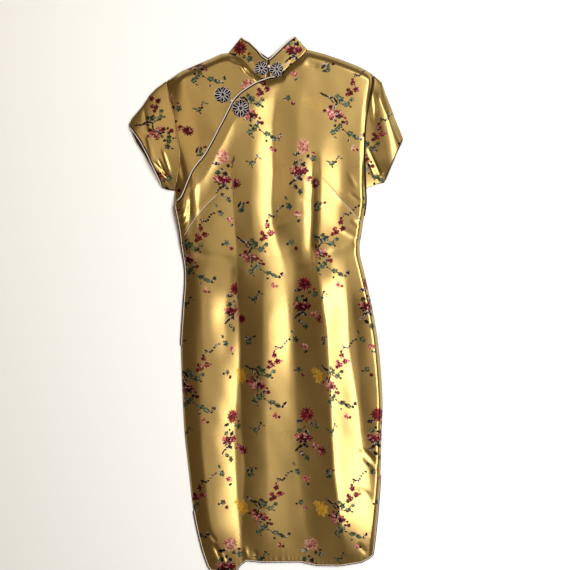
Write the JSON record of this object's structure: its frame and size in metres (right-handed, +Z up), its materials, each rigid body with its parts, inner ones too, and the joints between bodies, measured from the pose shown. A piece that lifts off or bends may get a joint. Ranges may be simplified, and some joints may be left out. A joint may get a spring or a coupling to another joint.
{
  "type": "cheongsam dress",
  "caption": "Short-sleeved satin cheongsam laid flat, with a mandarin collar, a curved front opening edged with piping, and flower knots.",
  "frame": {"origin": "centre of the bounding box in X and Y, on the surface that the dress lies on", "axes": "+X to the picture's right, which is the wearer's left; +Y from the hem to the collar; +Z up out of the front"},
  "size_m": [0.5528, 1.0781, 0.0235],
  "materials": {
    "gold_satin": "gold satin brocade, smooth sheen, flowers and sprigs in red, pink, green and ochre",
    "pale_piping": "pale satin piping with a thin dark line",
    "flower_knot": "silvery lavender cord loops over black"
  },
  "bodies": {
    "root": {"front_panel": "gold_satin", "right_front": "gold_satin", "back_panel": "gold_satin", "sleeve_left": "gold_satin", "sleeve_right": "gold_satin", "collar": "gold_satin", "piping_opening": "pale_piping", "piping_collar_left": "pale_piping", "piping_collar_right": "pale_piping", "piping_collar_back": "pale_piping", "piping_sleeve_left": "pale_piping", "piping_sleeve_left_back": "pale_piping", "piping_sleeve_right": "pale_piping", "piping_hem": "pale_piping", "frog_collar_left": "flower_knot", "frog_collar_right": "flower_knot", "frog_chest_left": "flower_knot", "frog_chest_right": "flower_knot", "knot_collar": "pale_piping", "knot_chest": "pale_piping"}
  },
  "joints": []
}
